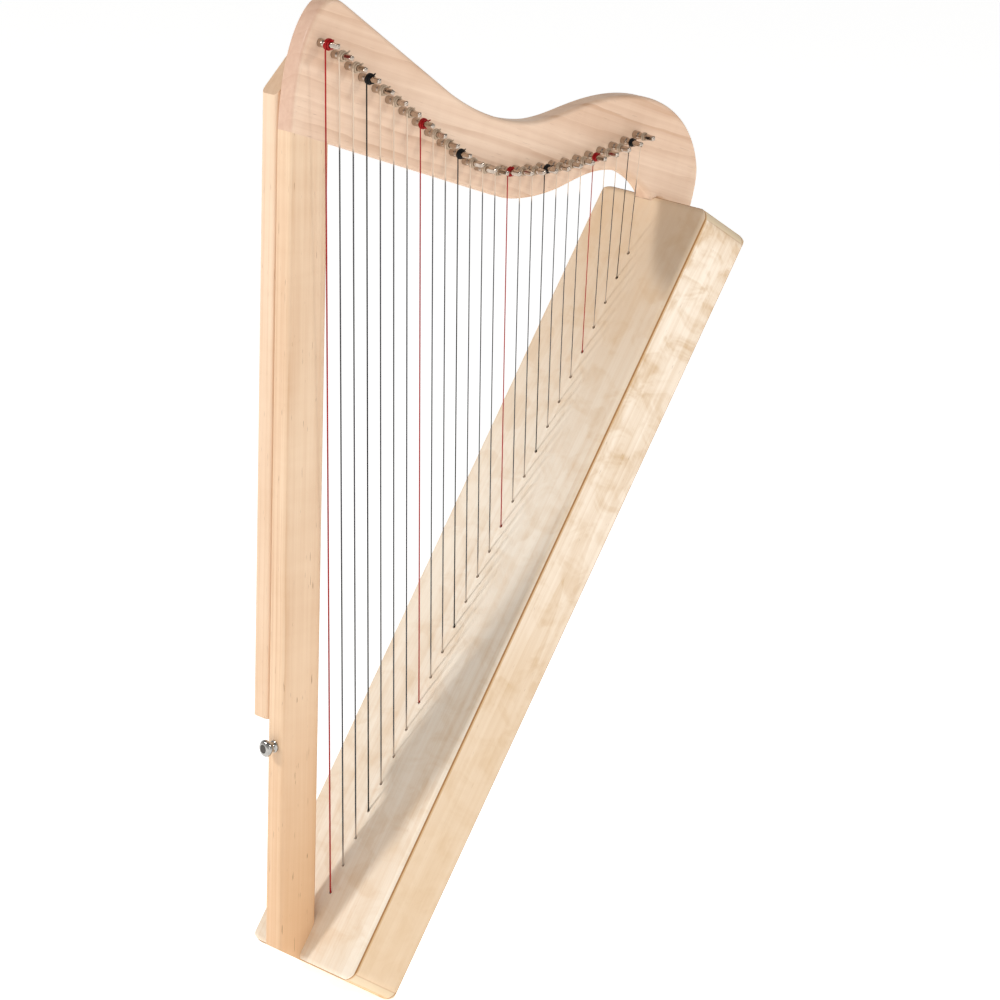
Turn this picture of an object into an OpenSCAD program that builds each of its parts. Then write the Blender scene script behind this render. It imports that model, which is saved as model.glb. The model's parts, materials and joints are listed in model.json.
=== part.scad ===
// Small lap harp: a slim plywood soundbox that leans back, a straight pillar, an S-shaped
// neck and 26 strings, each with its own tuning pin. It is drawn as it is played.
// +Z is up along the pillar, +X runs from the bass to the treble, the strings and pins are
// on the -Y side. The origin is the middle of the soundbox's bottom end.

/* [Soundbox] */
// Length of the soundbox from end to end
box_length = 706; // [600:1:850]
// Width of the soundboard
box_width = 130; // [110:1:160]
// Depth from the soundboard's face to the back's face
box_depth = 57.5; // [48:0.5:72]
// Angle between the soundboard and the floor
box_lean = 58; // [55:0.5:61]
// Thickness of the soundboard
board_t = 3.2; // [2.4:0.1:4]
// Thickness of the back panel
back_t = 3.2; // [2.4:0.1:4]
// Thickness of each side panel
side_t = 6; // [4:0.5:9]
// Round-over of the soundbox's long edges and end edges
edge_round = 5; // [2:0.5:6]
// Radius of the soundboard's four corners
corner_round = 13; // [6:0.5:16]
// Length of the tail block inside the bottom end
tail_block_length = 42; // [34:1:60]
// Length of the top block inside the top end
top_block_length = 34; // [28:1:50]
// Width and height of the strips glued into the inner corners
lining_size = 9; // [6:0.5:12]
// Diameter of each access hole in the back
access_hole_d = 44; // [30:1:50]

/* [Pillar and neck] */
// Width of the pillar, from its front to the string side
pillar_width = 39; // [32:0.5:47]
// Thickness of the neck and the pillar
neck_t = 20; // [17:0.5:25]
// Gap from the line of string holes to the face that carries the pins
neck_offset = 1.5; // [0:0.5:4]
// Thickness of the backing strip behind the pillar and neck
strip_t = 19; // [14:0.5:24]
// Height of the pillar's front top corner over the centre of the soundbox's top end
pillar_rise = 112; // [100:1:125]
// Round-over of the pillar's and the strip's long edges
pillar_round = 4; // [2:0.5:7]
// Diameter of the joint dowels
dowel_d = 8; // [6:0.5:10]
// Depth of a dowel in each of the two pieces it joins
dowel_depth = 20; // [14:1:22]

/* [Strings and pins] */
// Distance of the first string hole from the bottom end
first_hole = 61; // [50:1:75]
// Spacing of the eight longest strings along the soundboard
bass_pitch = 24.8; // [23:0.1:26]
// Distance of the last string hole from the top end
last_hole_margin = 54; // [48:1:70]
// Spacing of the eight lowest pins along the neck
bass_pin_pitch = 14.2; // [13:0.1:15]
// Diameter of a string hole
string_hole_d = 3; // [2.4:0.1:4]
// Diameter of the longest string
bass_string_d = 1.3; // [1:0.05:1.6]
// Diameter of the shortest string
treble_string_d = 0.65; // [0.5:0.05:0.9]
// Diameter of the part of a tuning pin that sits in the neck
pin_root_d = 7; // [6:0.1:8.5]
// Diameter of the part of a tuning pin that carries the string
pin_d = 5; // [4:0.1:5.5]
// Width across the flats of a tuning pin's square end
pin_square = 4; // [3.2:0.1:4.4]
// Length of a tuning pin outside the neck
pin_out = 23; // [19:0.5:28]
// Length of a tuning pin inside the neck
pin_in = 16; // [12:0.5:16.5]
// Distance from the neck's face to where the string leaves its pin
string_out = 11.5; // [10:0.5:13]

/* [Strap button] */
// Height of the strap button over the origin
button_height = 202; // [150:1:240]
// Diameter of the strap button's head
button_head_d = 14; // [11:0.5:17]
// Diameter of the strap button's foot
button_foot_d = 10; // [8:0.5:12]
// Height of the strap button
button_tall = 12; // [9:0.5:15]

/* [Hidden] */

$fn = 48;
string_count = 26;
bass_count = 8;
octave = 7;
cut = 0.5;
skin = 0.01;

// Clearances
pin_clearance = 0.05;
pin_end_gap = 0.5;
string_gap = 0.3;
stub_extra = 0.2;

// Soundbox frame: x runs up the soundbox, z out of the soundboard
half_depth = box_depth / 2;
half_width = box_width / 2;
inside_depth = box_depth - board_t - back_t;
inside_width = box_width - 2 * side_t;
board_under = half_depth - board_t;
back_over = back_t - half_depth;
box_x = cos(box_lean);
box_z = sin(box_lean);
head_x = box_length * box_x;
head_z = box_length * box_z;

// Rib, braces and linings
rib_w = 18;
rib_t = 6;
brace_w = 8;
brace_t = 10;
brace_count = 3;
access_hole_count = 4;
access_pitch = (box_length - tail_block_length - top_block_length) / access_hole_count;

// Pillar: its front stands a little ahead of the soundboard's bottom edge
pillar_ahead = 20;
front_x = -half_depth * box_z - pillar_ahead;
pillar_top_z = head_z + pillar_rise;
neck_mid_y = neck_offset + neck_t / 2;
strip_y = neck_offset + neck_t;
strip_bottom_z = button_height + 20;
strip_top_z = pillar_top_z + 26;
strip_top_slope = 46;

// Slope of the joint between the pillar and the neck, which the neck's underside continues
under_start = [head_x - 196, head_z + 33.5];
joint_slope = (under_start[1] - pillar_top_z) / (under_start[0] - front_x);

// String holes along the soundboard
treble_count = string_count - bass_count;
treble_pitch = (box_length - last_hole_margin - first_hole - octave * bass_pitch) / treble_count;
function hole_u(k) = first_hole + bass_pitch * min(k, octave) + treble_pitch * max(k - octave, 0);
// A point of the soundbox's side view: u up the soundbox, z out of the soundboard
function box_point(u, z) = [u * box_x - z * box_z, u * box_z + z * box_x];
function hole_point(k) = let (p = box_point(hole_u(k), half_depth)) [p[0], 0, p[1]];

// Tuning pins: a straight bass line that flows into a shallow treble arc
first_pin_inset = 27.4;
last_pin_inset = 48.5;
first_pin_x = front_x + first_pin_inset;
last_pin_x = head_x - last_pin_inset;
treble_pin_pitch = (last_pin_x - first_pin_x - octave * bass_pin_pitch) / treble_count;
bass_line_rise = 180;
bass_line_z = head_z + bass_line_rise;
bass_line_end = [head_x - 252, head_z + 77];
bass_line_slope = (bass_line_end[1] - bass_line_z) / (bass_line_end[0] - first_pin_x);
arc_low = [head_x - 159.5, head_z + 54.5];
arc_radius = 400;
arc_blend = 9;
function pin_x(k) = first_pin_x + bass_pin_pitch * min(k, octave) + treble_pin_pitch * max(k - octave, 0);
function bass_line(x) = bass_line_z + bass_line_slope * (x - first_pin_x);
function treble_arc(x) = arc_low[1] + pow(x - arc_low[0], 2) / (2 * arc_radius);
function blend_up(a, b, soft) = (a + b + sqrt(pow(a - b, 2) + pow(soft, 2))) / 2;
function pin_z(k) = blend_up(bass_line(pin_x(k)), treble_arc(pin_x(k)), arc_blend);
function string_d(k) = bass_string_d + (treble_string_d - bass_string_d) * k / (string_count - 1);
function string_top(k) = [
    pin_x(k) - (pin_d + string_d(k)) / 2 - string_gap, neck_offset - string_out, pin_z(k)];

// Strings by colour: C strings are red, F strings are black
red_from = 0;
black_from = 3;
red_set = [for (k = [red_from:octave:string_count - 1]) k];
black_set = [for (k = [black_from:octave:string_count - 1]) k];
clear_set = [for (k = [0:string_count - 1])
    if (k % octave != red_from && k % octave != black_from) k];

// Pin profile
pin_collar = 4;
pin_neck = 3;
pin_dome = 1.2;
pin_dome_taper = 0.6;
pin_square_length = 10;
pin_hole_d = 1.6;
coil_half = 2.5;

// Knots behind the rib
knot_d = 5.5;
knot_flat = 0.8;
knot_top = board_under - rib_t;
stub_end = knot_top - 1.5;

// Strap button
button_waist_d = 6.4;
button_foot_t = 2;
button_head_t = 4;
button_crown = 3;
button_waist_ease = 1;
button_rim = [0.6, 2.2];
button_shoulder = [-1, -0.4];
screw_d = 3.6;
screw_head_d = 7;
screw_head_t = 2.6;
screw_head_play = 0.4;
screw_length = 30;

// A cubic curve from p0 to p3 with handles p1 and p2, without its last point
curve_steps = 12;
function curve(p0, p1, p2, p3) = [for (i = [0:curve_steps - 1]) let (t = i / curve_steps, s = 1 - t)
    s * s * s * p0 + 3 * s * s * t * p1 + 3 * s * t * t * p2 + t * t * t * p3];

// A point of the neck measured from the centre of the soundbox's top end
function from_head(x, z) = [head_x + x, head_z + z];
// A point of the neck measured from the pillar's front, at a height over the head
function from_front(x, z) = [front_x + x, head_z + z];

// The neck's foot: a toe over the rounded edge, then the plane of the soundbox's top end
foot_setback = 8.3;
toe = box_point(box_length - edge_round, half_depth);
toe_under = box_point(box_length - edge_round, half_depth - edge_round);
foot_front = box_point(box_length, half_depth - edge_round);
foot_back = box_point(box_length, foot_setback - half_depth);
neck_outline = concat(
    [[front_x, pillar_top_z]],
    curve(under_start, from_head(-180, 28), from_head(-152, 28.5), from_head(-130.8, 33.8)),
    curve(from_head(-130.8, 33.8), from_head(-116, 37.5), from_head(-102, 43.2), from_head(-84, 43)),
    curve(from_head(-84, 43), from_head(-62, 42.7), from_head(-41, 33.3), toe),
    [toe, toe_under, foot_front],
    curve(foot_back, from_head(24.4, 7.3), from_head(28.5, 24.3), from_head(26.9, 35.3)),
    curve(from_head(26.9, 35.3), from_head(19.9, 81.3), from_head(-22.1, 104.7), from_head(-71, 104.5)),
    curve(from_head(-71, 104.5), from_head(-112, 104.3), from_head(-132, 93), from_head(-162, 93.1)),
    curve(from_head(-162, 93.1), from_head(-204, 95.3), from_head(-238, 115.2), from_head(-257.5, 129.4)),
    curve(from_front(55.3, 206.9), from_front(47, 213), from_front(40, 216.5), from_front(30.5, 209.8)),
    curve(from_front(30.5, 209.8), from_front(17, 199), from_front(2, 168), [front_x, pillar_top_z]));

module in_box() {
    rotate([0, -box_lean, 0]) children();
}

// The soundbox's outer shape: rounded along every outer edge
module rounded_rect(length, width, radius) {
    for (x = [radius, length - radius], y = [radius, width - radius]) translate([x, y]) circle(radius);
    translate([radius, 0]) square([length - 2 * radius, width]);
    translate([0, radius]) square([length, width - 2 * radius]);
}

module box_envelope() {
    intersection() {
        translate([0, -half_width, -half_depth])
            linear_extrude(box_depth) rounded_rect(box_length, box_width, corner_round);
        translate([0, half_width, -half_depth])
            rotate([90, 0, 0]) linear_extrude(box_width) rounded_rect(box_length, box_depth, edge_round);
        translate([0, -half_width, -half_depth]) rotate([90, 0, 90])
            linear_extrude(box_length) rounded_rect(box_width, box_depth, edge_round);
    }
}

module string_holes(d, z, depth) {
    for (k = [0:string_count - 1]) translate([hole_u(k), 0, z]) cylinder(d = d, h = depth);
}

module soundboard() {
    color("wheat") in_box() difference() {
        intersection() {
            box_envelope();
            translate([-cut, -half_width - cut, board_under])
                cube([box_length + 2 * cut, box_width + 2 * cut, board_t + cut]);
        }
        string_holes(string_hole_d, board_under - cut, board_t + 2 * cut);
        pillar_dowel_holes();
    }
}

module back_panel() {
    color("wheat") in_box() difference() {
        intersection() {
            box_envelope();
            translate([-cut, -half_width - cut, -half_depth - cut])
                cube([box_length + 2 * cut, box_width + 2 * cut, back_t + cut]);
        }
        for (i = [0:access_hole_count - 1])
            translate([tail_block_length + (i + 0.5) * access_pitch, 0, -half_depth - cut])
                cylinder(d = access_hole_d, h = back_t + 2 * cut);
    }
}

module side_panel(side) {
    color("antiquewhite") in_box() intersection() {
        box_envelope();
        translate([-cut, side > 0 ? half_width - side_t : -half_width - cut, back_over])
            cube([box_length + 2 * cut, side_t + cut, inside_depth]);
    }
}

module end_block(start, length) {
    intersection() {
        box_envelope();
        translate([start, -inside_width / 2, back_over]) cube([length, inside_width, inside_depth]);
    }
}

// Dowels that stand across the soundboard, in the tail block and the pillar
pillar_dowel_u = [14, 27];
module pillar_dowel_holes() {
    for (u = pillar_dowel_u) translate([u, neck_mid_y, half_depth - dowel_depth])
        cylinder(d = dowel_d, h = 2 * dowel_depth);
}

// Dowels that stand across the top end, in the top block and the neck
head_dowel_z = [-10, 10];
module head_dowel_holes() {
    for (z = head_dowel_z) translate([box_length - dowel_depth, neck_mid_y, z])
        rotate([0, 90, 0]) cylinder(d = dowel_d, h = 2 * dowel_depth);
}

// Upright dowels between the pillar and the neck
neck_dowel_inset = 11;
module neck_dowel_holes() {
    for (x = [neck_dowel_inset, pillar_width - neck_dowel_inset])
        translate([on_joint(x)[0], neck_mid_y, on_joint(x)[1] - dowel_depth])
            cylinder(d = dowel_d, h = 2 * dowel_depth);
}

module tail_block() {
    color("burlywood") in_box() difference() {
        end_block(0, tail_block_length);
        pillar_dowel_holes();
    }
}

module top_block() {
    color("burlywood") in_box() difference() {
        end_block(box_length - top_block_length, top_block_length);
        head_dowel_holes();
    }
}

module string_rib() {
    color("tan") in_box() difference() {
        translate([tail_block_length, -rib_w / 2, board_under - rib_t])
            cube([box_length - tail_block_length - top_block_length, rib_w, rib_t]);
        string_holes(string_hole_d, board_under - rib_t - cut, rib_t + 2 * cut);
    }
}

module lining(side, z) {
    translate([tail_block_length, side > 0 ? inside_width / 2 - lining_size : -inside_width / 2, z])
        cube([box_length - tail_block_length - top_block_length, lining_size, lining_size]);
}

module front_linings() {
    color("tan") in_box() for (side = [-1, 1]) lining(side, board_under - lining_size);
}

module back_linings() {
    color("tan") in_box() for (side = [-1, 1]) lining(side, back_over);
}

brace_span = inside_width / 2 - lining_size - rib_w / 2;
module soundboard_braces() {
    color("tan") in_box() for (i = [1:brace_count], side = [-1, 1])
        translate([tail_block_length + i * access_pitch - brace_w / 2,
            side > 0 ? rib_w / 2 : -rib_w / 2 - brace_span, board_under - brace_t])
            cube([brace_w, brace_span, brace_t]);
}

module back_braces() {
    color("tan") in_box() for (i = [1:brace_count])
        translate([tail_block_length + i * access_pitch - brace_w / 2,
            lining_size - inside_width / 2, back_over])
            cube([brace_w, inside_width - 2 * lining_size, brace_t]);
}

// A straight round rod from one point to another
module rod(from, to, d) {
    run = to - from;
    reach = norm(run);
    translate(from) rotate([0, acos(run[2] / reach), atan2(run[1], run[0])]) cylinder(d = d, h = reach);
}

// A string: straight from its pin to the soundboard, then square down through the hole
function stub_d(k) = string_d(k) + stub_extra;
module string(k) {
    rod(hole_point(k), string_top(k), string_d(k));
    in_box() translate([hole_u(k), 0, stub_end])
        cylinder(d = stub_d(k), h = half_depth - stub_end + stub_d(k) / 2);
}

module red_strings() {
    color("darkred") for (k = red_set) string(k);
}

module black_strings() {
    color("black") for (k = black_set) string(k);
}

module clear_strings() {
    color("lightgray") for (k = clear_set) string(k);
}

// A knot, flattened where it bears on the rib
module knot(k) {
    translate([hole_u(k), 0, knot_top - knot_d / 2 + knot_flat]) difference() {
        sphere(d = knot_d);
        translate([0, 0, stub_end - knot_top + knot_d / 2 - knot_flat]) cylinder(d = stub_d(k), h = knot_d);
        translate([-knot_d, -knot_d, knot_d / 2 - knot_flat]) cube([2 * knot_d, 2 * knot_d, knot_d]);
    }
}

module string_knots() {
    color("ivory") in_box() for (k = [0:string_count - 1]) knot(k);
}

module neck() {
    color("blanchedalmond") difference() {
        side_plate(strip_y, neck_t) polygon(neck_outline);
        in_box() box_envelope();
        for (k = [0:string_count - 1]) pin_at(k)
            translate([0, 0, -pin_in - pin_end_gap])
                cylinder(d = pin_root_d + 2 * pin_clearance, h = pin_in + pin_end_gap + cut);
        neck_dowel_holes();
        in_box() head_dowel_holes();
    }
}

// Extrudes a side view from y towards the strings
module side_plate(y, thick) {
    translate([0, y, 0]) rotate([90, 0, 0]) linear_extrude(thick) children();
}

// A bar with its long edges rounded, as wide as the pillar
module rounded_bar(y, thick, z0, z1) {
    translate([front_x, y, z0]) linear_extrude(z1 - z0) rounded_rect(pillar_width, thick, pillar_round);
}

// The pillar stands on the soundboard, flush with the bottom end, and meets the neck on a slope
trim = 300; // reaches well past the pillar, to cut it
function on_joint(x) = [front_x + x, pillar_top_z + joint_slope * x];
module pillar_post() {
    color("burlywood") difference() {
        intersection() {
            rounded_bar(neck_offset, neck_t, 0, pillar_top_z);
            side_plate(strip_y, neck_t) polygon([
                box_point(0, half_depth - edge_round), box_point(edge_round, half_depth - edge_round),
                box_point(edge_round, half_depth), box_point(trim, half_depth),
                on_joint(trim), on_joint(-trim), box_point(0, trim)]);
        }
        in_box() box_envelope();
        neck_dowel_holes();
        in_box() pillar_dowel_holes();
        translate([front_x - cut, neck_mid_y, button_height]) rotate([0, 90, 0])
            cylinder(d = screw_d, h = screw_length + cut);
    }
}

module backing_strip() {
    color("burlywood") intersection() {
        rounded_bar(strip_y, strip_t, strip_bottom_z, strip_top_z + trim);
        side_plate(strip_y + strip_t, strip_t) polygon([
            [front_x, strip_bottom_z], [front_x + pillar_width, strip_bottom_z],
            [front_x + pillar_width, strip_top_z + pillar_width * tan(strip_top_slope)],
            [front_x, strip_top_z]]);
    }
}

module neck_dowels() {
    color("peru") neck_dowel_holes();
}

module head_dowels() {
    color("peru") in_box() head_dowel_holes();
}

module pillar_dowels() {
    color("peru") in_box() pillar_dowel_holes();
}

// Strap button: a mushroom turned about its screw, which stands out of the pillar's front
module button_axis() {
    translate([front_x, neck_mid_y, button_height]) rotate([0, -90, 0]) children();
}

module strap_button() {
    head_z0 = button_tall - button_head_t;
    foot_r = button_foot_d / 2;
    head_r = button_head_d / 2;
    color("silver") button_axis() difference() {
        rotate_extrude() polygon(concat(
            [[0, 0], [foot_r, 0], [foot_r, button_foot_t / 2]],
            curve([foot_r, button_foot_t / 2], [button_waist_d / 2, button_foot_t],
                [button_waist_d / 2, head_z0 - button_waist_ease], [head_r, head_z0]),
            curve([head_r, head_z0], [head_r, head_z0] + button_rim,
                [head_r, button_tall] + button_shoulder, [head_r - button_crown, button_tall]),
            [[head_r - button_crown, button_tall], [0, button_tall]]));
        translate([0, 0, -cut]) cylinder(d = screw_d, h = button_tall + 2 * cut);
        translate([0, 0, button_tall - screw_head_t])
            cylinder(d1 = screw_d, d2 = screw_head_d + screw_head_play, h = screw_head_t + skin);
    }
}

module button_screw() {
    color("gray") button_axis() {
        translate([0, 0, -screw_length]) cylinder(d = screw_d, h = screw_length + button_tall - screw_head_t);
        translate([0, 0, button_tall - screw_head_t])
            cylinder(d1 = screw_d, d2 = screw_head_d, h = screw_head_t);
    }
}

// Places its child at a pin: z points out of the neck's face
module pin_at(k) {
    translate([pin_x(k), neck_offset, pin_z(k)]) rotate([90, 0, 0]) children();
}

// A tuning pin: threaded root, waist, round shaft with a string hole, square tapered end
module tuning_pin(k) {
    square_z = pin_out - pin_square_length;
    color("silver") pin_at(k) difference() {
        union() {
            translate([0, 0, -pin_in]) cylinder(d = pin_root_d, h = pin_in + pin_collar);
            translate([0, 0, pin_collar]) cylinder(d1 = pin_root_d, d2 = pin_d, h = pin_neck);
            cylinder(d = pin_d, h = square_z);
            intersection() {
                cylinder(d = pin_d, h = pin_out - pin_dome);
                translate([-pin_square / 2, -pin_square / 2, square_z])
                    cube([pin_square, pin_square, pin_square_length]);
            }
            translate([0, 0, pin_out - pin_dome])
                cylinder(d1 = pin_square, d2 = pin_square * pin_dome_taper, h = pin_dome);
        }
        translate([-pin_d, 0, string_out + coil_half]) rotate([0, 90, 0])
            cylinder(d = pin_hole_d, h = 2 * pin_d);
    }
}

neck();
pillar_post();
backing_strip();
soundboard();
side_panel(-1);  // side_panel_near
side_panel(1);  // side_panel_far
back_panel();
top_block();
tail_block();
string_rib();
soundboard_braces();
front_linings();
back_linings();
back_braces();
string_knots();
red_strings();
black_strings();
clear_strings();
strap_button();
button_screw();
neck_dowels();
head_dowels();
pillar_dowels();
tuning_pin(0);  // tuning_pin_01
tuning_pin(1);  // tuning_pin_02
tuning_pin(2);  // tuning_pin_03
tuning_pin(3);  // tuning_pin_04
tuning_pin(4);  // tuning_pin_05
tuning_pin(5);  // tuning_pin_06
tuning_pin(6);  // tuning_pin_07
tuning_pin(7);  // tuning_pin_08
tuning_pin(8);  // tuning_pin_09
tuning_pin(9);  // tuning_pin_10
tuning_pin(10);  // tuning_pin_11
tuning_pin(11);  // tuning_pin_12
tuning_pin(12);  // tuning_pin_13
tuning_pin(13);  // tuning_pin_14
tuning_pin(14);  // tuning_pin_15
tuning_pin(15);  // tuning_pin_16
tuning_pin(16);  // tuning_pin_17
tuning_pin(17);  // tuning_pin_18
tuning_pin(18);  // tuning_pin_19
tuning_pin(19);  // tuning_pin_20
tuning_pin(20);  // tuning_pin_21
tuning_pin(21);  // tuning_pin_22
tuning_pin(22);  // tuning_pin_23
tuning_pin(23);  // tuning_pin_24
tuning_pin(24);  // tuning_pin_25
tuning_pin(25);  // tuning_pin_26
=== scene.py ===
import json
import math
import random

import bmesh
import bpy
from mathutils import Matrix, Vector


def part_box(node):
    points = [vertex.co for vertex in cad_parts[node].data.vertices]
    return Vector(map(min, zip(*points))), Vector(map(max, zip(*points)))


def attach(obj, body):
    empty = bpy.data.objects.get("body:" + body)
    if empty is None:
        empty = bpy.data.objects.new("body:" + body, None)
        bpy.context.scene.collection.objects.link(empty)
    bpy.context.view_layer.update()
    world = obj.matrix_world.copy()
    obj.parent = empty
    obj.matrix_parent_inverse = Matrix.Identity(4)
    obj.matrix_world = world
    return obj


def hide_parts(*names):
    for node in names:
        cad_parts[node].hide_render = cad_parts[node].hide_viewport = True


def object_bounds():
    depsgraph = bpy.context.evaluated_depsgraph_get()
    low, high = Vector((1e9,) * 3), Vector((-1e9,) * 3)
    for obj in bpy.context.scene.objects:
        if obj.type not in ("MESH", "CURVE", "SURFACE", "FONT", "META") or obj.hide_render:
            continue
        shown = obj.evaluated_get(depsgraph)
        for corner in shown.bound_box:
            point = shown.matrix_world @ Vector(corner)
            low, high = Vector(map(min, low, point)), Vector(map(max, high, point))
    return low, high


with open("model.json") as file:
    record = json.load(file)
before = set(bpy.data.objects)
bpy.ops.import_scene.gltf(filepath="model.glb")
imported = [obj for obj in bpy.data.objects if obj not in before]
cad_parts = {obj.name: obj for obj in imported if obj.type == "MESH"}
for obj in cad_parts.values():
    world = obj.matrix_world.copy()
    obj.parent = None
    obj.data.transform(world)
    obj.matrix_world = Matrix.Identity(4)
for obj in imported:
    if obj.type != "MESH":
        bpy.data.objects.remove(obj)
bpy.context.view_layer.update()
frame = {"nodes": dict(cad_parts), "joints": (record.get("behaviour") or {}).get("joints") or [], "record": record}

mm = 0.001
joints = {joint["name"]: joint for joint in frame["joints"]}
stringCount = len(joints)
print("frame loaded:", len(frame["nodes"]), "nodes,", stringCount, "pins")

# The soundbox leans back, so its own axes are worked out from the record's resting face
restFace = next(mount for mount in frame["record"]["mounts"] if mount["name"] == "bottom_end")
boxUp = -Vector(restFace["axis"])
boxOut = Vector((-boxUp.z, 0, boxUp.x))
neckLow, neckHigh = (Vector(corner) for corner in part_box("neck"))
pillarLow, pillarHigh = (Vector(corner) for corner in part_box("pillar_post"))


# How far a CAD piece reaches along a direction
def reachOf(node, direction):
    spots = [corner.co.dot(direction) for corner in frame["nodes"][node].data.vertices]
    return min(spots), max(spots)


boardUnder, boardFace = reachOf("soundboard", boxOut)
backFace = reachOf("back_panel", boxOut)[0]
boxEnd = reachOf("soundboard", boxUp)[1]
nearFace = reachOf("side_panel_near", Vector((0, 1, 0)))[0]


class Wire:
    def __init__(self, finish, socket):
        self.finish, self.socket = finish, socket

    def __add__(self, other):
        return self.finish.sum("ADD", self, other)

    def __sub__(self, other):
        return self.finish.sum("SUBTRACT", self, other)

    def __rsub__(self, other):
        return self.finish.sum("SUBTRACT", other, self)

    def __mul__(self, other):
        return self.finish.sum("MULTIPLY", self, other)

    def __truediv__(self, other):
        return self.finish.sum("DIVIDE", self, other)

    def __pow__(self, other):
        return self.finish.sum("POWER", self, other)

    __radd__ = __add__
    __rmul__ = __mul__


class Finish:
    def __init__(self, name):
        self.material = bpy.data.materials.new(name)
        self.material.use_nodes = True
        self.tree = self.material.node_tree
        self.tree.nodes.clear()
        self.place = self.node("ShaderNodeTexCoord", {}, {}, "Object")

    # Settings go in first, because they can change which sockets a node has
    def node(self, kind, settings, inputs, output=0):
        made = self.tree.nodes.new(kind)
        for key, value in settings.items():
            if key == "stops":
                ramp = made.color_ramp
                while len(ramp.elements) < len(value):
                    ramp.elements.new(0.5)
                for element, (position, colour) in zip(ramp.elements, value):
                    element.position, element.color = position, colour
            else:
                setattr(made, key, value)
        for key, value in (inputs.items() if isinstance(inputs, dict) else enumerate(inputs)):
            if isinstance(value, Wire):
                self.tree.links.new(value.socket, made.inputs[key])
            else:
                made.inputs[key].default_value = value
        return Wire(self, made.outputs[output]) if made.outputs else None

    def sum(self, operation, *values):
        return self.node("ShaderNodeMath", {"operation": operation}, list(values))

    def step(self, value, low, high):
        settings = {"interpolation_type": "SMOOTHSTEP"}
        return self.node("ShaderNodeMapRange", settings, {0: value, 1: low, 2: high, 3: 0.0, 4: 1.0})

    def along(self, direction, place=None):
        return self.node("ShaderNodeVectorMath", {"operation": "DOT_PRODUCT"},
                         [place or self.place, tuple(direction)], "Value")

    def stretch(self, place, scale, shift=(0, 0, 0)):
        return self.node("ShaderNodeVectorMath", {"operation": "MULTIPLY_ADD"},
                         [place, tuple(scale), tuple(shift)])

    def vector(self, x, y, z):
        return self.node("ShaderNodeCombineXYZ", {}, [x, y, z])

    def noise(self, place, scale=1.0, detail=2.0, rough=0.5, twist=0.0):
        inputs = {"Vector": place, "Scale": scale, "Detail": detail, "Roughness": rough, "Distortion": twist}
        return self.node("ShaderNodeTexNoise", {}, inputs)

    def blend(self, share, first, second):
        return self.node("ShaderNodeMix", {"data_type": "RGBA"}, {0: share, 6: first, 7: second}, 2)

    def surface(self, **sockets):
        inputs = {name.replace("_", " "): value for name, value in sockets.items()}
        shader = self.node("ShaderNodeBsdfPrincipled", {}, inputs)
        self.node("ShaderNodeOutputMaterial", {}, [shader])
        return self.material

    def bump(self, height, strength, depth):
        return self.node("ShaderNodeBump", {}, {"Height": height, "Strength": strength, "Distance": depth})


def paint(red, green, blue):
    def toLinear(value):
        value /= 255
        return value / 12.92 if value < 0.04045 else ((value + 0.055) / 1.055) ** 2.4
    return (toLinear(red), toLinear(green), toLinear(blue), 1)


# Grain axes of a board: along the grain, across it and through it
def grainPlace(finish, along, across, through, shift):
    place = finish.vector(finish.along(along), finish.along(across), finish.along(through))
    return finish.stretch(place, (1, 1, 1), shift)


mapleBoards = {
    "neckMaple": {"along": (0.943, 0, -0.333), "across": (0.333, 0, 0.943), "heart": (0.05, 0.23),
                  "ringGap": 0.0165, "ringDepth": 0.55, "pale": paint(241, 211, 185),
                  "tan": paint(208, 166, 134), "low": paint(240, 211, 184), "end": paint(198, 154, 132),
                  "endDepth": 0.6, "shift": (0.37, 0.02, 0.0), "flecks": 0.30},
    "pillarMaple": {"along": (0, 0, 1), "across": (1, 0, 0), "heart": (0.01, 0.12),
                    "ringGap": 0.0048, "ringDepth": 0.40, "pale": paint(239, 210, 178),
                    "tan": paint(206, 160, 118), "low": paint(226, 178, 130), "end": paint(190, 140, 98),
                    "endDepth": 0.8, "shift": (0.11, 0.03, 0.0), "flecks": 0.75},
    "stripMaple": {"along": (0, 0, 1), "across": (1, 0, 0), "heart": (0.03, 0.07),
                   "ringGap": 0.0062, "ringDepth": 0.34, "pale": paint(238, 209, 180),
                   "tan": paint(214, 174, 136), "low": paint(232, 190, 148), "end": paint(196, 150, 110),
                   "endDepth": 0.7, "shift": (1.43, 0.02, 0.06), "flecks": 0.6},
}
mapleGrain = {"waver": 0.020, "fibreDepth": 0.20, "cloudDepth": 0.42, "streakDepth": 0.8, "curlDepth": 0.25,
              "paleness": 0.54, "rough": 0.38, "coat": 0.15, "warmFrom": 0.42, "warmTo": 0.02, "warmth": 0.6,
              "fleck": paint(140, 94, 58)}


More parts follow.
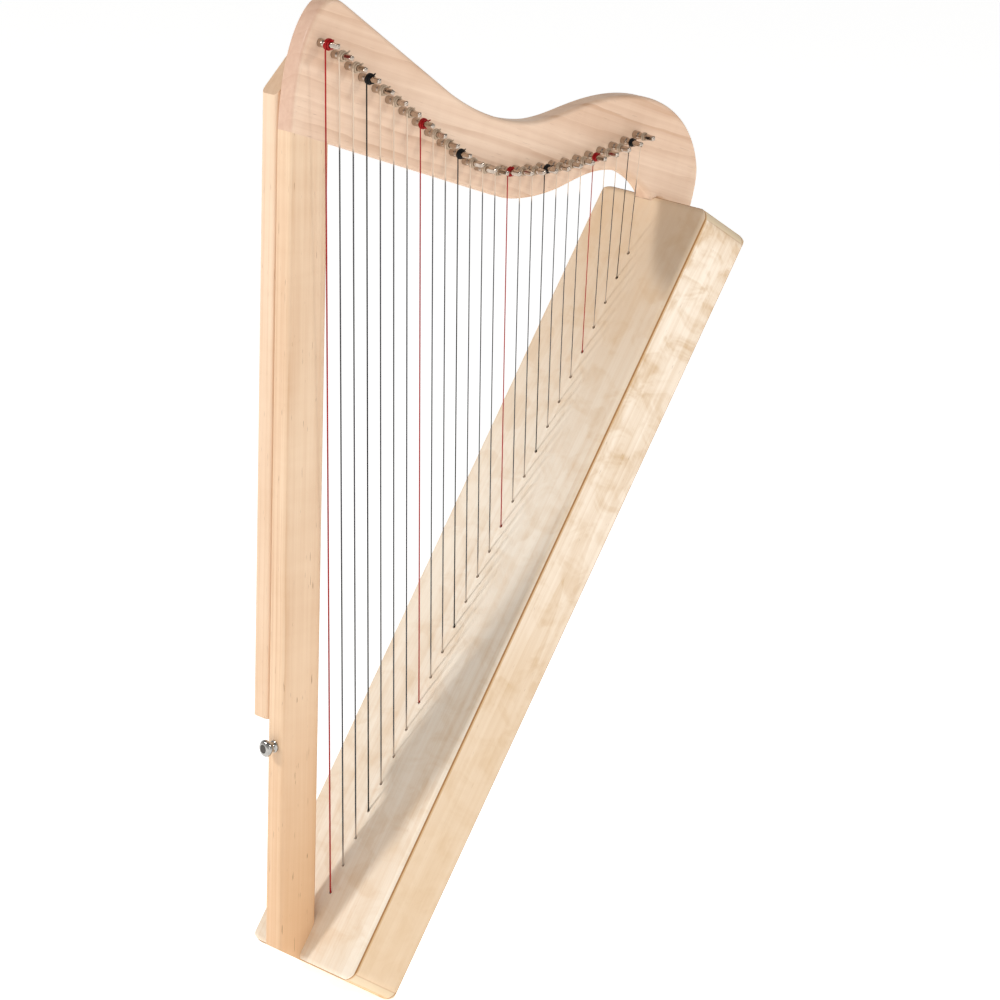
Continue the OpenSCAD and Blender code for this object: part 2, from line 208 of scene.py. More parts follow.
def maple(name):
    board, grain, finish = mapleBoards[name], mapleGrain, Finish(name)
    place = grainPlace(finish, board["along"], board["across"], (0, 1, 0), board["shift"])
    waver = (finish.noise(finish.stretch(place, (6, 16, 16)), 1.0, 4.0, 0.55) - 0.5) * grain["waver"]
    across = finish.along((0, 1, 0), place) - board["heart"][0] + waver
    through = finish.along((0, 0, 1), place) + board["heart"][1]
    reach = finish.sum("SQRT", across * across + through * through)
    ring = finish.sum("FRACT", reach / board["ringGap"])
    late = finish.step(ring, 0.55, 0.96) * (1 - finish.step(ring, 0.965, 1.0))
    patchy = finish.step(finish.noise(finish.stretch(place, (7, 40, 40)), 1.0, 2.0), 0.25, 0.75)
    fibre = finish.noise(finish.stretch(place, (22, 1500, 1500)), 1.0, 4.0, 0.7)
    streak = finish.noise(finish.stretch(place, (3, 260, 260), (8, 1, 2)), 1.0, 3.0, 0.6)
    cloud = finish.step(finish.noise(finish.stretch(place, (4, 16, 16), (3, 1, 7)), 1.0, 3.0), 0.3, 0.72)
    curl = finish.noise(finish.stretch(place, (75, 14, 14), (2, 6, 1)), 1.0, 2.0, 0.5, 0.4)
    fleck = finish.noise(finish.stretch(place, (62, 1000, 1000), (5, 5, 5)), 1.0, 1.0)
    fleck = finish.step(fleck, 0.735, 0.79)
    share = (late * patchy * board["ringDepth"] + fibre * grain["fibreDepth"] + cloud * grain["cloudDepth"]
             + streak * grain["streakDepth"] + curl * grain["curlDepth"] - grain["paleness"])
    colour = finish.blend(share, board["pale"], board["tan"])
    warm = finish.step(finish.along((0, 0, 1)), grain["warmFrom"], grain["warmTo"])
    colour = finish.blend(warm * grain["warmth"], colour, board["low"])
    colour = finish.blend(fleck * board["flecks"], colour, grain["fleck"])
    # Cut ends soak up more oil, so they are darker where the surface faces along the grain
    facing = finish.node("ShaderNodeTexCoord", {}, {}, "Normal")
    cutEnd = finish.step(finish.sum("ABSOLUTE", finish.along(board["along"], facing)), 0.42, 0.98)
    colour = finish.blend(cutEnd * board["endDepth"] * (0.75 + streak * 0.4), colour, board["end"])
    height = fibre * 0.7 - fleck
    rough = grain["rough"] + fibre * 0.12 - late * 0.05 + cutEnd * 0.1
    return finish.surface(Base_Color=colour, Roughness=rough,
                          Coat_Weight=grain["coat"], Coat_Roughness=0.25,
                          Normal=finish.bump(height, 0.25, 0.0002))


# face: where the sheet's outer face lies; line: depths of the dark core line at a sanded edge; fade and the shade
# colour: where along the soundbox the painted shade grows, and the colour it darkens to
plySheets = {
    "boardPly": {"flat": True, "face": boardFace, "line": (1.9 * mm, 3.3 * mm),
                 "pale": paint(252, 239, 221), "tan": paint(226, 196, 160), "paintedShadeColour": paint(214, 182, 146),
                 "fade": (0.38, 0.70), "shift": (0.2, 0.1, 0.0)},
    "backPly": {"flat": True, "face": backFace, "line": (2.3 * mm, 3.3 * mm),
                "pale": paint(244, 228, 205), "tan": paint(222, 192, 154), "paintedShadeColour": paint(226, 198, 162),
                "fade": (0.70, 0.10), "shift": (2.2, 0.5, 0.0)},
    "nearPly": {"flat": False, "face": nearFace, "line": (0.8 * mm, 1.2 * mm),
                "pale": paint(252, 237, 218), "tan": paint(206, 168, 120), "paintedShadeColour": paint(226, 194, 154),
                "fade": (0.52, 0.02), "shift": (3.1, 0.3, 0.0)},
    "farPly": {"flat": False, "face": -nearFace, "line": (0.8 * mm, 1.2 * mm),
               "pale": paint(248, 231, 208), "tan": paint(206, 168, 120), "paintedShadeColour": paint(222, 188, 146),
               "fade": (0.52, 0.02), "shift": (4.7, 0.9, 0.0)},
}
plyLook = {"core": paint(184, 130, 66), "coreDark": paint(148, 98, 46), "inner": paint(226, 204, 170),
           "glueBand": 1.2 * mm, "glueLine": paint(214, 172, 118), "sandedEnd": 4.6 * mm,
           "sanded": paint(226, 190, 128), "dash": paint(150, 102, 58), "layerSoft": 0.1 * mm,
           "figureDepth": 0.30, "fibreDepth": 0.2, "streakDepth": 1.1, "cloudDepth": 0.40, "mottleDepth": 0.5,
           "paleness": 0.62, "paintedShadeDepth": 0.75}


def plywood(name):
    sheet, look, finish = plySheets[name], plyLook, Finish(name)
    outward, upward = finish.along(boxOut), finish.along(boxUp)
    depth = finish.sum("ABSOLUTE", (outward if sheet["flat"] else finish.along((0, 1, 0))) - sheet["face"])
    across, through = ((0, 1, 0), boxOut) if sheet["flat"] else (boxOut, (0, 1, 0))
    place = grainPlace(finish, boxUp, across, through, sheet["shift"])
    # Rotary-cut veneer: nested wavy contours that run along the soundbox, under fine lengthwise streaks
    swell = finish.noise(finish.stretch(place, (2.2, 13, 13)), 1.0, 2.5, 0.45, 0.35)
    contour = finish.sum("FRACT", swell * 8)
    figure = finish.step(contour, 0.3, 0.95) * (1 - finish.step(contour, 0.95, 1.0))
    patchy = finish.step(finish.noise(finish.stretch(place, (5, 20, 20), (9, 2, 4)), 1.0, 2.0), 0.4, 0.75)
    fibre = finish.noise(finish.stretch(place, (30, 1400, 1400)), 1.0, 4.0, 0.7)
    streak = finish.noise(finish.stretch(place, (2.5, 220, 220), (6, 3, 1)), 1.0, 4.0, 0.65)
    cloud = finish.noise(finish.stretch(place, (3.5, 12, 12), (1, 6, 2)), 1.0, 3.0, 0.55)
    cloud = finish.step(cloud, 0.35, 0.75)
    mottle = finish.noise(finish.stretch(place, (46, 30, 30), (4, 4, 8)), 1.0, 3.0, 0.6, 0.8)
    mottle = finish.step(mottle, 0.42, 0.7) * (0.6 + finish.step(upward, boxEnd - 0.35, boxEnd) * 0.6)
    share = (figure * patchy * look["figureDepth"] + fibre * look["fibreDepth"] + streak * look["streakDepth"]
             + cloud * look["cloudDepth"] + mottle * look["mottleDepth"] - look["paleness"])
    dash = finish.step(finish.noise(finish.stretch(place, (85, 800, 800), (7, 7, 7)), 1.0, 1.0), 0.745, 0.80)
    face = finish.blend(share, sheet["pale"], sheet["tan"])
    face = finish.blend(dash * (0.12 if sheet["flat"] else 0.6), face, look["dash"])
    # Painted shade: each sheet darkens along the soundbox toward its shade colour, across the heights given by
    # fade
    face = finish.blend(finish.step(upward, *sheet["fade"]) * look["paintedShadeDepth"], face, sheet["paintedShadeColour"])
    # The sanded edges cut down through the layers
    core, inner = (finish.step(depth, line - look["layerSoft"], line + look["layerSoft"])
                   for line in sheet["line"])
    edgeGrain = finish.noise(finish.stretch(place, (120, 420, 420)), 1.0, 3.0, 0.6)
    coreColour = finish.blend(edgeGrain, look["core"], look["coreDark"])
    colour = finish.blend(core * (1.0 if sheet["flat"] else 0.35), face, coreColour)
    colour = finish.blend(inner, colour, look["inner"])
    if not sheet["flat"]:
        bandEdge, sandedEnd = boardUnder - look["glueBand"], look["sandedEnd"]
        band = finish.step(outward, bandEdge - 0.2 * mm, bandEdge)
        colour = finish.blend(band * 0.7, colour, look["glueLine"])
        ends = (finish.step(upward, boxEnd - sandedEnd, boxEnd - sandedEnd + 1 * mm)
                + finish.step(upward, sandedEnd, sandedEnd - 1 * mm)) * (1 - core)
        colour = finish.blend(ends * (0.4 + edgeGrain * 0.5), colour, look["sanded"])
    return finish.surface(Base_Color=colour, Roughness=0.40 + fibre * 0.12,
                          Coat_Weight=0.15, Coat_Roughness=0.25,
                          Normal=finish.bump(fibre - core * 0.4, 0.22, 0.0002))


def planedWood(name, pale, tan, along):
    finish = Finish(name)
    along = Vector(along)
    across = Vector((0, 1, 0))
    place = grainPlace(finish, along, across, along.cross(across), (0.4, 0.2, 0.1))
    fibre = finish.noise(finish.stretch(place, (25, 900, 900)), 1.0, 4.0, 0.7)
    ring = finish.noise(finish.stretch(place, (3, 160, 90)), 1.0, 2.0, 0.5, 0.3)
    colour = finish.blend(fibre * 0.4 + finish.step(ring, 0.35, 0.7) * 0.6, pale, tan)
    return finish.surface(Base_Color=colour, Roughness=0.55 + fibre * 0.15,
                          Normal=finish.bump(fibre, 0.3, 0.0002))


def nylon(name, colour, shade, rough):
    finish = Finish(name)
    streak = finish.noise(finish.stretch(finish.place, (900, 900, 60)), 1.0, 2.0)
    return finish.surface(Base_Color=finish.blend(streak, colour, shade), Roughness=rough + streak * 0.08,
                          IOR=1.53, Specular_IOR_Level=0.25)


# Clear strings get painted colour for what shows through them: painted dark grey in open space, and the painted
# colour of the wood close behind them, the neck at the top and the soundboard below
clearLook = {"paintedDarkSeen": paint(62, 62, 66), "paintedDarkSeenStreak": paint(48, 48, 53), "paintedWoodSeen": paint(236, 212, 188),
             "neckEdge": 0.6947, "neckFall": 0.353, "arcEdge": 0.630, "soften": 4 * mm, "boardReach": 14 * mm}


def clearNylon(name):
    finish, look = Finish(name), clearLook
    streak = finish.noise(finish.stretch(finish.place, (900, 900, 60)), 1.0, 2.0)
    height = finish.along((0, 0, 1))
    slope = look["neckEdge"] - finish.along((1, 0, 0)) * look["neckFall"]
    edge = finish.sum("MAXIMUM", slope, look["arcEdge"])
    paintedNeckSeen = finish.step(height - edge, -look["soften"], look["soften"])
    paintedBoardSeen = 1 - finish.step(finish.along(boxOut), boardFace + 2 * mm, boardFace + look["boardReach"])
    # Painted dark grey for the room seen through the string, blended to the painted wood colour near the neck and
    # the soundboard
    colour = finish.blend(streak, look["paintedDarkSeen"], look["paintedDarkSeenStreak"])
    colour = finish.blend(paintedNeckSeen * 0.9 + paintedBoardSeen * 0.45, colour, look["paintedWoodSeen"])
    return finish.surface(Base_Color=colour, Roughness=0.22 + streak * 0.06,
                          IOR=1.53, Specular_IOR_Level=0.35)


def plated(name, colour, shade, rough, scale):
    finish = Finish(name)
    wear = finish.noise(finish.stretch(finish.place, (scale, scale, scale)), 1.0, 3.0, 0.6)
    turned = finish.noise(finish.stretch(finish.place, (60, 9000, 60)), 1.0, 1.0)
    return finish.surface(Base_Color=finish.blend(wear, colour, shade), Metallic=1.0,
                          Roughness=rough + wear * 0.14 + turned * 0.05,
                          Normal=finish.bump(turned, 0.12, 0.00005))


finishes = {name: maple(name) for name in mapleBoards}
finishes.update({name: plywood(name) for name in plySheets})
finishes["blockWood"] = planedWood("blockWood", paint(232, 206, 166), paint(206, 168, 120), boxUp)
finishes["ribWood"] = planedWood("ribWood", paint(214, 176, 132), paint(184, 140, 96), boxUp)
finishes["dowelWood"] = planedWood("dowelWood", paint(206, 160, 112), paint(176, 128, 84), (0, 0, 1))
finishes["redNylon"] = nylon("redNylon", paint(182, 4, 8), paint(138, 2, 5), 0.36)
finishes["blackNylon"] = nylon("blackNylon", paint(10, 10, 12), paint(5, 5, 6), 0.34)
finishes["clearNylon"] = clearNylon("clearNylon")
# Coils on clear strings get a painted pale tan for the pin and wood seen through the clear nylon
finishes["coiledNylon"] = nylon("coiledNylon", paint(206, 184, 160), paint(182, 158, 134), 0.12)
finishes["pinSteel"] = plated("pinSteel", paint(206, 194, 182), paint(164, 148, 134), 0.10, 500)
finishes["chrome"] = plated("chrome", paint(196, 194, 190), paint(150, 148, 144), 0.06, 300)
finishes["screwSteel"] = plated("screwSteel", paint(96, 92, 88), paint(64, 62, 60), 0.25, 300)
print("finishes made:", len(finishes))


def addPiece(name, mesh, material, body, nodes, place=None):
    piece = bpy.data.objects.new(name, mesh)
    bpy.context.scene.collection.objects.link(piece)
    if place is not None:
        piece.matrix_world = place
    mesh.materials.clear()
    mesh.materials.append(material)
    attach(piece, body)
    if nodes:
        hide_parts(*nodes)
    return piece


# CAD pieces that keep their shape take a finish
nodeFinishes = {
    "pillar_post": "pillarMaple", "backing_strip": "stripMaple",
    "soundboard": "boardPly", "back_panel": "backPly",
    "side_panel_near": "nearPly", "side_panel_far": "farPly",
    "top_block": "blockWood", "tail_block": "blockWood", "string_rib": "ribWood",
    "soundboard_braces": "blockWood", "front_linings": "blockWood",
    "back_linings": "blockWood", "back_braces": "blockWood", "string_knots": "clearNylon",
    "strap_button": "chrome", "button_screw": "screwSteel",
    "neck_dowels": "dowelWood", "head_dowels": "dowelWood", "pillar_dowels": "dowelWood",
}
for node, finishName in nodeFinishes.items():
    for slot in frame["nodes"][node].material_slots:
        slot.material = finishes[finishName]

# Neck: the CAD board's side view, with its long edges rounded over
neckShape = {"round": 4.0 * mm, "steps": 6, "spacing": 3 * mm, "fade": 6 * mm, "cornerAngle": 24,
             "pinHole": 3.55 * mm, "pinHoleDeep": 16.5 * mm, "jointReach": 30 * mm, "glueDeep": 5.5 * mm}


def sideViewLoops(node, level):
    mesh = frame["nodes"][node].data
    spots = [(round(v.co.x, 6), round(v.co.z, 6)) for v in mesh.vertices]
    used = {}
    for polygon in mesh.polygons:
        if all(abs(mesh.vertices[v].co.y - level) < 1e-6 for v in polygon.vertices):
            corners = list(polygon.vertices)
            for a, b in zip(corners, corners[1:] + corners[:1]):
                key = (spots[a], spots[b])
                if (key[1], key[0]) in used:
                    del used[(key[1], key[0])]
                else:
                    used[key] = True
    following = dict(used.keys())
    loops = []
    while following:
        start, spot = following.popitem()
        loop = [start]
        while spot != start:
            loop.append(spot)
            spot = following.pop(spot)
        loops.append([Vector((x, z)) for x, z in loop])
    return sorted(loops, key=len, reverse=True)


def turnAt(loop, i):
    before, after = loop[i] - loop[i - 1], loop[(i + 1) % len(loop)] - loop[i]
    return math.degrees(before.angle_signed(after, 0))


def refined(loop, spacing, cornerAngle):
    turns = [turnAt(loop, i) for i in range(len(loop))]
    count, result = len(loop), []
    for i in range(count):
        p0, p1, p2, p3 = (loop[(i + k) % count] for k in (-1, 0, 1, 2))
        result.append(p1)
        length = (p2 - p1).length
        parts = max(1, round(length / spacing))
        bent = max(abs(turns[i]), abs(turns[(i + 1) % count])) < cornerAngle and length < 30 * mm
        for k in range(1, parts):
            t = k / parts
            if bent:
                m1 = (p2 - p0) * (length / max((p2 - p1).length + (p1 - p0).length, 1e-9))
                m2 = (p3 - p1) * (length / max((p3 - p2).length + (p2 - p1).length, 1e-9))
                spot = ((2 * t**3 - 3 * t**2 + 1) * p1 + (t**3 - 2 * t**2 + t) * m1
                        + (3 * t**2 - 2 * t**3) * p2 + (t**3 - t**2) * m2)
            else:
                spot = p1.lerp(p2, t)
            result.append(spot)
    return result


# corner: the outline's point where the round-over runs on into the pillar's, and the way it slides there
def roundedBoard(name, outline, low, high, radius, steps, isFlat, fade, corner):
    count = len(outline)
    area = sum(a.x * b.y - b.x * a.y for a, b in zip(outline, outline[1:] + outline[:1]))
    if area < 0:
        outline = outline[::-1]
    cornerAt = min(range(count), key=lambda i: (outline[i] - corner[0]).length)
    # Distance along the outline from the nearest glued stretch sets how far the round-over has grown
    flat = [isFlat(point) and i != cornerAt for i, point in enumerate(outline)]
    lengths = [(outline[(i + 1) % count] - outline[i]).length for i in range(count)]
    reach = [0.0 if flat[i] else 1.0 for i in range(count)]
    for order in (range(2 * count), range(2 * count, 0, -1)):
        forward = order.step > 0
        for step in order:
            i = step % count
            j = (i - 1) % count if forward else (i + 1) % count
            gap = lengths[j] if forward else lengths[i]
            if i != cornerAt:
                reach[i] = min(reach[i], reach[j] + gap)
    inward = []
    for i in range(count):
        before = (outline[i] - outline[i - 1]).normalized()
        after = (outline[(i + 1) % count] - outline[i]).normalized()
        normal = Vector((-(before.y + after.y), before.x + after.x)).normalized()
        inward.append(normal / max(normal.dot(Vector((-before.y, before.x))), 0.6))
    inward[cornerAt] = corner[1] / corner[1].x
    radii = [radius * min(1.0, distance / fade) ** 0.5 for distance in reach]
    points, rings = [], []
    for face in (low, high):
        side = 1 if face == low else -1
        angles = [math.radians(90 * k / steps) for k in range(steps + 1)]
        for angle in angles if face == high else angles[::-1]:
            ring = []
            for i in range(count):
                r = radii[i]
                spot = outline[i] + inward[i] * (r * (1 - math.cos(angle)))
                ring.append(len(points))
                points.append((spot.x, face + side * r * (1 - math.sin(angle)), spot.y))
            rings.append(ring)
    faces = []
    for lower, upper in zip(rings, rings[1:]):
        for i in range(count):
            j = (i + 1) % count
            faces.append((lower[j], lower[i], upper[i], upper[j]))
    faces.append(tuple(rings[0]))
    faces.append(tuple(rings[-1][::-1]))
    bm = bmesh.new()
    made = [bm.verts.new(point) for point in points]
    for face in faces:
        bm.faces.new([made[i] for i in face])
    bmesh.ops.remove_doubles(bm, verts=bm.verts, dist=1e-6)
    bmesh.ops.recalc_face_normals(bm, faces=bm.faces)
    mesh = bpy.data.meshes.new(name)
    bm.to_mesh(mesh)
    bm.free()
    return mesh


def drilled(mesh, centres, radius, low, high):
    bm = bmesh.new()
    for centre in centres:
        middle = Matrix.Translation((centre.x, (low + high) / 2, centre.y))
        bmesh.ops.create_cone(bm, cap_ends=True, segments=32, radius1=radius, radius2=radius,
                              depth=high - low, matrix=middle @ Matrix.Rotation(math.pi / 2, 4, "X"))
    drills = bpy.data.meshes.new("drills")
    bm.to_mesh(drills)
    bm.free()
    work, cutter = bpy.data.objects.new("work", mesh), bpy.data.objects.new("cutter", drills)
    for item in (work, cutter):
        bpy.context.scene.collection.objects.link(item)
    cut = work.modifiers.new("holes", "BOOLEAN")
    cut.operation, cut.object, cut.solver = "DIFFERENCE", cutter, "EXACT"
    bpy.context.view_layer.update()
    result = bpy.data.meshes.new_from_object(work.evaluated_get(bpy.context.evaluated_depsgraph_get()))
    bpy.data.objects.remove(work)
    bpy.data.objects.remove(cutter)
    return result


def softShade(piece, angle=38):
    piece.data.shade_smooth()
    piece.data.set_sharp_from_angle(angle=math.radians(angle))
    even = piece.modifiers.new("even normals", "WEIGHTED_NORMAL")
    even.keep_sharp = True


loops = sideViewLoops("neck", neckLow.y)
outline = refined(loops[0], neckShape["spacing"], neckShape["cornerAngle"])

# The joint on the pillar slopes down from the front corner
frontCorner = min(loops[0], key=lambda spot: (spot - Vector((pillarLow.x, pillarHigh.z))).length)
jointSpots = [spot for spot in outline
              if spot.x < pillarHigh.x + neckShape["jointReach"] and spot.y < pillarHigh.z - 1 * mm]
jointEnd = max(jointSpots, key=lambda spot: spot.x)
pastCorner = frontCorner.x + 2 * neckShape["round"]
outline = [spot for spot in outline if spot == frontCorner or spot.y > frontCorner.y or spot.x > pastCorner]


def gluedFace(point):
    spot = Vector((point.x, 0, point.y))
    height = spot.dot(boxUp)
    nearEnd = boxEnd - neckShape["glueDeep"] < height < boxEnd + 0.1 * mm
    onEnd = nearEnd and abs(spot.dot(boxOut)) < boardFace + 0.2 * mm
    onPillar = point.x < pillarHigh.x and point.y < pillarHigh.z - 0.1 * mm
    return onEnd or onPillar


neckMesh = roundedBoard("neckBoard", outline, neckLow.y, neckHigh.y, neckShape["round"], neckShape["steps"],
                        gluedFace, neckShape["fade"], (frontCorner, jointEnd - frontCorner))
pinSpots = [Vector(joints["pin_%02d_turn" % (k + 1)]["pos_m"]) for k in range(stringCount)]
neckMesh = drilled(neckMesh, [Vector((spot.x, spot.z)) for spot in pinSpots], neckShape["pinHole"],
                   neckLow.y - 2 * mm, neckLow.y + neckShape["pinHoleDeep"])
neck = addPiece("neckBoard", neckMesh, finishes["neckMaple"], "frame", ["neck"])
softShade(neck)
print("neck made:", len(outline), "outline points,", len(loops) - 1, "pin holes")

# Tuning pins: a threaded root that tapers to a polished shaft with a squared, domed end.
# Each ring is its distance out of the neck, its radius, and how square it is: 2 is round
pinShape = {"root": 3.5, "shaft": 2.5, "rootOut": 4.0, "taperOut": 7.0, "squareFrom": 14.5, "out": 23.0,
            "inside": 16.0, "threadPitch": 0.9, "threadDeep": 0.07, "threadFrom": -2.4, "flats": 2.05,
            "dome": 1.1, "domeSteps": 7, "lip": 0.3, "worn": 0.05, "squareLead": 1.2, "squareLong": 1.6,
            "squareness": 7, "steps": 6, "sides": 40}


def pinMesh():
    p = pinShape
    rings = [(-p["inside"], 0.0, 2), (-p["inside"], p["root"], 2)]
    depth = p["threadFrom"]
    while depth < p["rootOut"]:
        rings.append((depth, p["root"], 2))
        rings.append((depth + p["threadPitch"] / 2, p["root"] - p["threadDeep"], 2))
        depth += p["threadPitch"]
    lipOut, lipRadius = p["rootOut"] + p["lip"], p["root"] - p["worn"]
    rings.append((lipOut, lipRadius, 2))
    for k in range(1, p["steps"] + 1):
        t = k / p["steps"]
        ease = t * t * (3 - 2 * t)
        rings.append((lipOut + t * (p["taperOut"] - p["rootOut"]),
                      lipRadius + (p["shaft"] - lipRadius) * ease, 2))
    rings.append((p["squareFrom"] - p["squareLead"], p["shaft"], 2))
    for k in range(p["steps"] + 1):
        t = k / p["steps"]
        rings.append((p["squareFrom"] + p["squareLong"] * t, p["shaft"] + (p["flats"] - p["shaft"]) * t,
                      2 + (p["squareness"] - 2) * t))
    tip = p["out"] - p["dome"]
    rings.append((tip - 0.2, p["flats"] - 0.08, p["squareness"]))
    for k in range(1, p["domeSteps"] + 1):
        angle = math.radians(90 * k / p["domeSteps"])
        rings.append((tip + p["dome"] * math.sin(angle), (p["flats"] - 0.12) * math.cos(angle),
                      p["squareness"] - (p["squareness"] - 2) * k / p["domeSteps"]))
    points, faces, sides = [], [], p["sides"]
    for out, radius, squareness in rings:
        for k in range(sides):
            c, s = math.cos(2 * math.pi * k / sides), math.sin(2 * math.pi * k / sides)
            r = max(radius, 1e-4) * (abs(c) ** squareness + abs(s) ** squareness) ** (-1 / squareness)
            points.append((r * c * mm, -out * mm, r * s * mm))
    for i in range(len(rings) - 1):
        for k in range(sides):
            a, b = i * sides + k, i * sides + (k + 1) % sides
            faces.append((a, b, b + sides, a + sides))
    faces.append(tuple(range(sides))[::-1])
    faces.append(tuple(len(points) - sides + k for k in range(sides)))
    bm = bmesh.new()
    made = [bm.verts.new(point) for point in points]
    for face in faces:
        bm.faces.new([made[i] for i in face])
    bmesh.ops.remove_doubles(bm, verts=bm.verts, dist=2e-7)
    bmesh.ops.recalc_face_normals(bm, faces=bm.faces)
    mesh = bpy.data.meshes.new("tuningPin")
    bm.to_mesh(mesh)
    bm.free()
    mesh.shade_smooth()
    mesh.set_sharp_from_angle(angle=math.radians(35))
    return mesh


# Strings: their places come from the CAD strings, their look from one dictionary for each colour
stringLook = {
    "redStrings": {"node": "red_strings", "finish": "redNylon", "slot": "red_nylon"},
    "blackStrings": {"node": "black_strings", "finish": "blackNylon", "slot": "black_nylon"},
    "clearStrings": {"node": "clear_strings", "finish": "clearNylon", "slot": "clear_nylon"},
}
stringShape = {"octave": 7, "redStep": 0, "blackStep": 3, "bass": 1.30, "treble": 0.65, "out": 11.5,
               "inHole": 7.0, "bendRadius": 1.6}
# A coil's second layer lies over the first, sunk a little into the gaps between its turns
coilShape = {"lower": 2.0, "upper": 2.2, "tailAngle": 78, "tailSpread": 26, "steps": 20, "snug": 1.07,
             "layer": 0.9, "tailLong": 0.9, "tailOut": 1.6, "climb": 0.15}
random.seed(26)


def stringDiameter(k):
    return stringShape["bass"] + (stringShape["treble"] - stringShape["bass"]) * k / (stringCount - 1)


def lookOf(k):
    step = k % stringShape["octave"]
    if step == stringShape["redStep"]:
        return "redStrings"
    return "blackStrings" if step == stringShape["blackStep"] else "clearStrings"


# Where the CAD strings pass through the soundboard's face
def holeSpots():
    mesh = frame["nodes"]["soundboard"].data
    face = max(v.co.dot(boxOut) for v in mesh.vertices)
    rim = [v.co for v in mesh.vertices if abs(v.co.dot(boxOut) - face) < 1e-5 and abs(v.co.y) < 1.6 * mm]
    ups = sorted(v.dot(boxUp) for v in rim)
    groups = [[ups[0]]]
    for value in ups[1:]:
        if value - groups[-1][-1] > 4 * mm:
            groups.append([])
        groups[-1].append(value)
    centres = [(group[0] + group[-1]) / 2 for group in groups if group[-1] - group[0] > 2 * mm]
    return [boxUp * up + boxOut * face for up in centres][:stringCount]


holes = holeSpots()
print("string holes found:", len(holes))


def tubeCurve(name, tubes):
    curve = bpy.data.curves.new(name, "CURVE")
    curve.dimensions = "3D"
    curve.bevel_depth = 1.0 * mm
    curve.bevel_resolution = 3
    curve.use_fill_caps = True
    for points, radius in tubes:
        spline = curve.splines.new("POLY")
        spline.points.add(len(points) - 1)
        for item, point in zip(spline.points, points):
            item.co = (*point, 1)
            item.radius = radius / mm
    return curve


def asMesh(name, curve):
    holder = bpy.data.objects.new(name, curve)
    bpy.context.scene.collection.objects.link(holder)
    bpy.context.view_layer.update()
    mesh = bpy.data.meshes.new_from_object(holder.evaluated_get(bpy.context.evaluated_depsgraph_get()))
    bpy.data.objects.remove(holder)
    mesh.shade_smooth()
    return mesh


tubes = {name: [] for name in stringLook}
pinBody = pinMesh()
for k in range(stringCount):
    spot, diameter = pinSpots[k], stringDiameter(k) * mm
    look = stringLook[lookOf(k)]
    pitch = diameter * coilShape["snug"]
    inner = pinShape["shaft"] * mm + diameter / 2
    outer = inner + diameter * coilShape["layer"]
    exitOut = stringShape["out"] * mm
    # Turns are counted back from where the string leaves, on the pin's -X side, to the hole
    tail = math.radians(coilShape["tailAngle"] + random.uniform(-1, 1) * coilShape["tailSpread"])
    wanted = coilShape["lower"] + coilShape["upper"] * mm / pitch + coilShape["lower"]
    turns = (math.pi - (tail + math.pi)) / (2 * math.pi) + round(wanted)
    steps = int(turns * coilShape["steps"])
    turnBack = exitOut - coilShape["lower"] * pitch
    holeOut = turnBack + (turns - coilShape["lower"]) * pitch
    path = []
    for i in range(3):
        t = i / 2
        r = inner + (1 - t) * diameter * coilShape["tailLong"] * (1 + math.sin(k * 1.7) ** 2)
        path.append((tail, r, holeOut + (1 - t) * diameter * coilShape["tailOut"] + 0.3 * diameter))
    points = [Vector((r * math.cos(a), -out, r * math.sin(a))) for a, r, out in path]
    points.append(Vector((0, -holeOut - 0.2 * diameter, 0)))
    for i in range(steps + 1):
        t = i / steps * turns
        angle = math.pi - 2 * math.pi * (turns - t)
        onUpper = t > turns - coilShape["lower"]
        climbed = t - (turns - coilShape["lower"] - coilShape["climb"])
        share = min(1.0, max(0.0, climbed / (2 * coilShape["climb"])))
        r = inner + (outer - inner) * share * share * (3 - 2 * share)
        out = holeOut - t * pitch if not onUpper else turnBack + (t - turns + coilShape["lower"]) * pitch
        points.append(Vector((r * math.cos(angle), -out, r * math.sin(angle))))
    coil = asMesh("coil", tubeCurve("coil", [(points, diameter / 2)]))
    pinName = "pin_%02d" % (k + 1)
    base = Matrix.Translation(spot)
    coilFinish = "coiledNylon" if look["finish"] == "clearNylon" else look["finish"]
    addPiece("coil_%02d" % (k + 1), coil, finishes[coilFinish], pinName, [], base)
    turned = base @ Matrix.Rotation(-tail, 4, "Y")
    addPiece("tuningPin_%02d" % (k + 1), pinBody, finishes["pinSteel"], pinName,
             ["tuning_pin_%02d" % (k + 1)], turned)
    # The string itself: straight to its hole, then a short bend down through the soundboard
    start = spot + Vector((-outer, -exitOut, 0))
    hole = holes[k]
    into = hole - boxOut * stringShape["inHole"] * mm
    toStart = (start - hole).normalized()
    bend = stringShape["bendRadius"] * mm
    route = [start, hole + toStart * bend]
    for i in range(1, 6):
        t = i / 6
        a, b = hole + toStart * bend, hole - boxOut * bend
        route.append(a * (1 - t) ** 2 + hole * 2 * t * (1 - t) + b * t * t)
    route += [hole - boxOut * bend, into]
    tubes[lookOf(k)].append((route, diameter / 2))
for name, look in stringLook.items():
    strings = asMesh(name, tubeCurve(name, tubes[name]))
    addPiece(name, strings, finishes[look["finish"]], "frame", [look["node"]])
print("pins, coils and strings made")

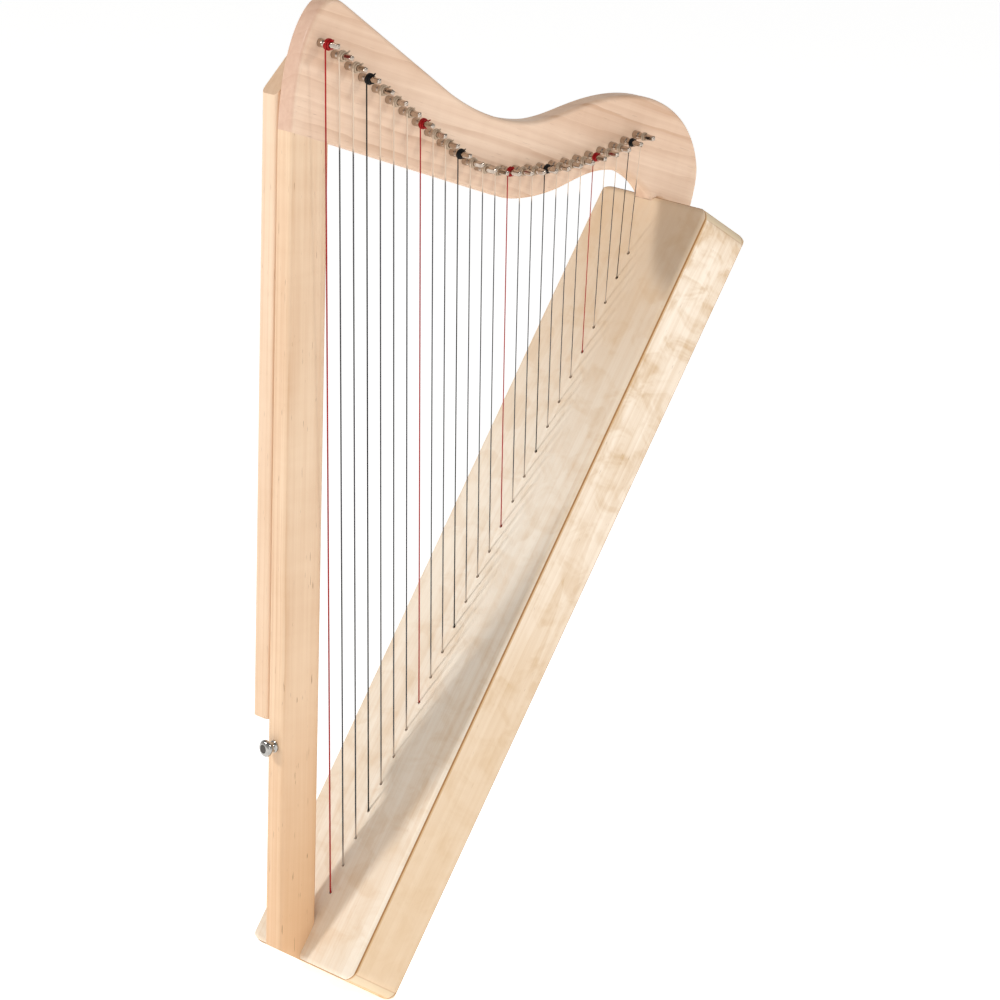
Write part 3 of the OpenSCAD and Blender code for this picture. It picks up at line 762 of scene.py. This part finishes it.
# Floor, light and camera
studio = {"floorDrop": 0.3 * mm, "floorSize": 40, "lens": 162, "cameraAt": (-2.2300, -2.6858, 1.3906),
          "azimuth": -41.95, "elevation": 15.71, "roll": 1.64, "floorGlow": 0.66}
sky = {"horizon": 0.64, "zenith": 0.22, "zenithAt": 0.85, "tint": (1.0, 0.995, 0.985, 1)}
lights = {
    "key": {"from": (1.5, -2.4, 2.4), "size": 0.5, "power": 22, "tint": (1, 0.98, 0.95)},
    "front": {"from": (-1.2, -3.0, 1.2), "size": 2.0, "power": 14, "tint": (1, 1, 1)},
    "left": {"from": (-2.5, 1.3, 2.2), "size": 0.35, "power": 47, "tint": (1, 0.99, 0.97)},
}
lampsAimAt = Vector((0.15, 0, 0.4))
scene = bpy.context.scene
scene.view_settings.view_transform = "Standard"

floorMesh = bpy.data.meshes.new("floor")
half = studio["floorSize"] / 2
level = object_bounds()[0][2] - studio["floorDrop"]
floorCorners = [(-half, -half, level), (half, -half, level), (half, half, level), (-half, half, level)]
floorMesh.from_pydata(floorCorners, [], [(0, 1, 2, 3)])
floor = bpy.data.objects.new("floor", floorMesh)
scene.collection.objects.link(floor)
sweep = Finish("paperSweep")
tooth = sweep.noise(sweep.place, 180.0, 3.0)
paper = sweep.blend(tooth, (0.93, 0.93, 0.93, 1), (0.90, 0.90, 0.90, 1))
floorMesh.materials.append(sweep.surface(Base_Color=paper, Roughness=0.85 + tooth * 0.1,
                                         Emission_Color=(1, 1, 1, 1), Emission_Strength=studio["floorGlow"]))

world = bpy.data.worlds.new("studio")
scene.world = world
world.use_nodes = True
background = world.node_tree.nodes["Background"]
background.inputs["Color"].default_value = sky["tint"]
direction = world.node_tree.nodes.new("ShaderNodeTexCoord")
split = world.node_tree.nodes.new("ShaderNodeSeparateXYZ")
fall = world.node_tree.nodes.new("ShaderNodeMapRange")
for socket, value in enumerate((0.0, sky["zenithAt"], sky["horizon"], sky["zenith"])):
    fall.inputs[socket + 1].default_value = value
world.node_tree.links.new(direction.outputs["Generated"], split.inputs[0])
world.node_tree.links.new(split.outputs[2], fall.inputs[0])
world.node_tree.links.new(fall.outputs[0], background.inputs["Strength"])

for name, look in lights.items():
    lamp = bpy.data.lights.new(name, "AREA")
    lamp.energy, lamp.color, lamp.size = look["power"], look["tint"], look["size"]
    holder = bpy.data.objects.new(name, lamp)
    scene.collection.objects.link(holder)
    holder.location = look["from"]
    aim = lampsAimAt - Vector(look["from"])
    holder.rotation_euler = aim.to_track_quat("-Z", "Y").to_euler()

azimuth, elevation, roll = (math.radians(studio[key]) for key in ("azimuth", "elevation", "roll"))
back = Vector((math.sin(azimuth) * math.cos(elevation), -math.cos(azimuth) * math.cos(elevation),
               math.sin(elevation)))
right = Vector((math.cos(azimuth), math.sin(azimuth), 0))
up = back.cross(right)
right, up = (right * math.cos(roll) + up * math.sin(roll), up * math.cos(roll) - right * math.sin(roll))
cameraData = bpy.data.cameras.new("camera")
cameraData.lens, cameraData.sensor_width = studio["lens"], 36
cameraData.clip_end = 100
camera = bpy.data.objects.new("camera", cameraData)
scene.collection.objects.link(camera)
turn = Matrix((right, up, back)).transposed().to_4x4()
camera.matrix_world = Matrix.Translation(studio["cameraAt"]) @ turn
scene.camera = camera
print("studio made")
